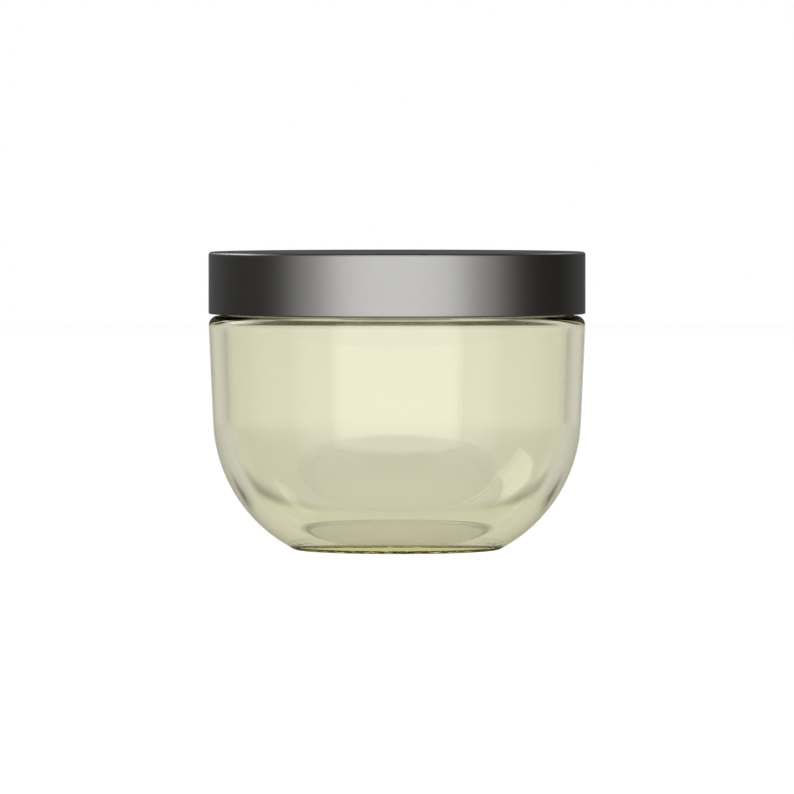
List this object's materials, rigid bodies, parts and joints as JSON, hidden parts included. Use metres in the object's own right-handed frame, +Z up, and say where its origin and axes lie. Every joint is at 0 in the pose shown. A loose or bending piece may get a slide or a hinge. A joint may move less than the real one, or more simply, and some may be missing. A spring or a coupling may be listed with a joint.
{
  "type": "cosmetic cream jar",
  "caption": "Wide-mouth tinted glass cream jar with a round heel and a satin metal screw lid that has a threaded inner cap, a foam liner and a loose sealing disc",
  "frame": {"origin": "the middle of the resting ring, on the surface that the jar stands on", "axes": "+Z up along the axis of the jar and of its thread; X and Y are alike apart from where the thread starts"},
  "size_m": [0.09, 0.09, 0.0711],
  "materials": {
    "jar_glass": "clear moulded glass with a pale yellow-green tint",
    "lid_metal": "satin dark anodised",
    "cap_plastic": "moulded natural polypropylene",
    "adhesive": "set hot-melt adhesive",
    "foam": "closed-cell polyethylene foam",
    "film": "smooth barrier film",
    "disc_plastic": "moulded translucent polyethylene"
  },
  "bodies": {
    "jar": {"glass_jar": "jar_glass"},
    "disc": {"sealing_disc": "disc_plastic"},
    "liner": {"liner_foam": "foam", "liner_film": "film"},
    "lid": {"lid_inner_cap": "cap_plastic", "lid_shell": "lid_metal", "lid_adhesive_ring": "adhesive"}
  },
  "joints": [
    {"name": "lid_lift", "type": "slide", "parent": "jar", "child": "liner", "axis": [0, 0, 1], "range_m": [0, 0.0151]},
    {"name": "lid_turn", "type": "hinge", "parent": "liner", "child": "lid", "pos_m": [0, 0, 0.0563], "axis": [0, 0, 1], "range_deg": [0, 1080]},
    {"name": "disc_lift", "type": "slide", "parent": "jar", "child": "disc", "axis": [0, 0, 1], "range_m": [0, 0.0076]}
  ],
  "couplings": [
    {"joint": "lid_lift", "follows": "lid_turn", "m_per_rad": 0.00079577},
    {"joint": "disc_lift", "follows": "lid_turn", "m_per_rad": 0.00039789}
  ]
}
